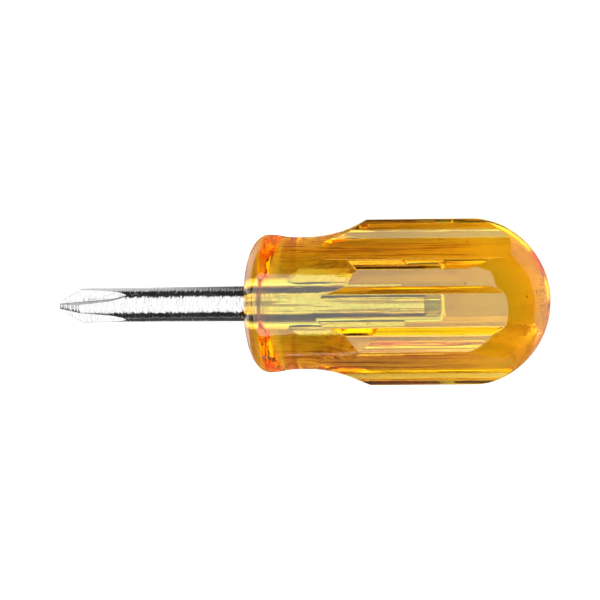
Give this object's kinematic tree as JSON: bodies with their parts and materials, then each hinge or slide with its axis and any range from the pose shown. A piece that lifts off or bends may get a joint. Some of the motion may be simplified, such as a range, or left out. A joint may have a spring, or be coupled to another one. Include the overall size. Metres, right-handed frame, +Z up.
{
  "type": "stubby cross-point screwdriver",
  "caption": "Short screwdriver: round steel blade with a ground cross point, pressed into a clear amber domed handle with grooved facets.",
  "frame": {"origin": "middle of the bounding box's base: the tool lies on one handle facet, at Z = 0", "axes": "+X along the tool's axis from the point to the handle's dome, +Z up from the facet it lies on, +Y across"},
  "size_m": [0.09, 0.0304, 0.0263],
  "materials": {
    "handle_amber": "clear amber cellulose plastic, tumbled to a gloss",
    "blade_steel": "bright plated steel over fine round grinding marks"
  },
  "bodies": {
    "root": {"handle": "handle_amber", "blade": "blade_steel"}
  },
  "joints": []
}
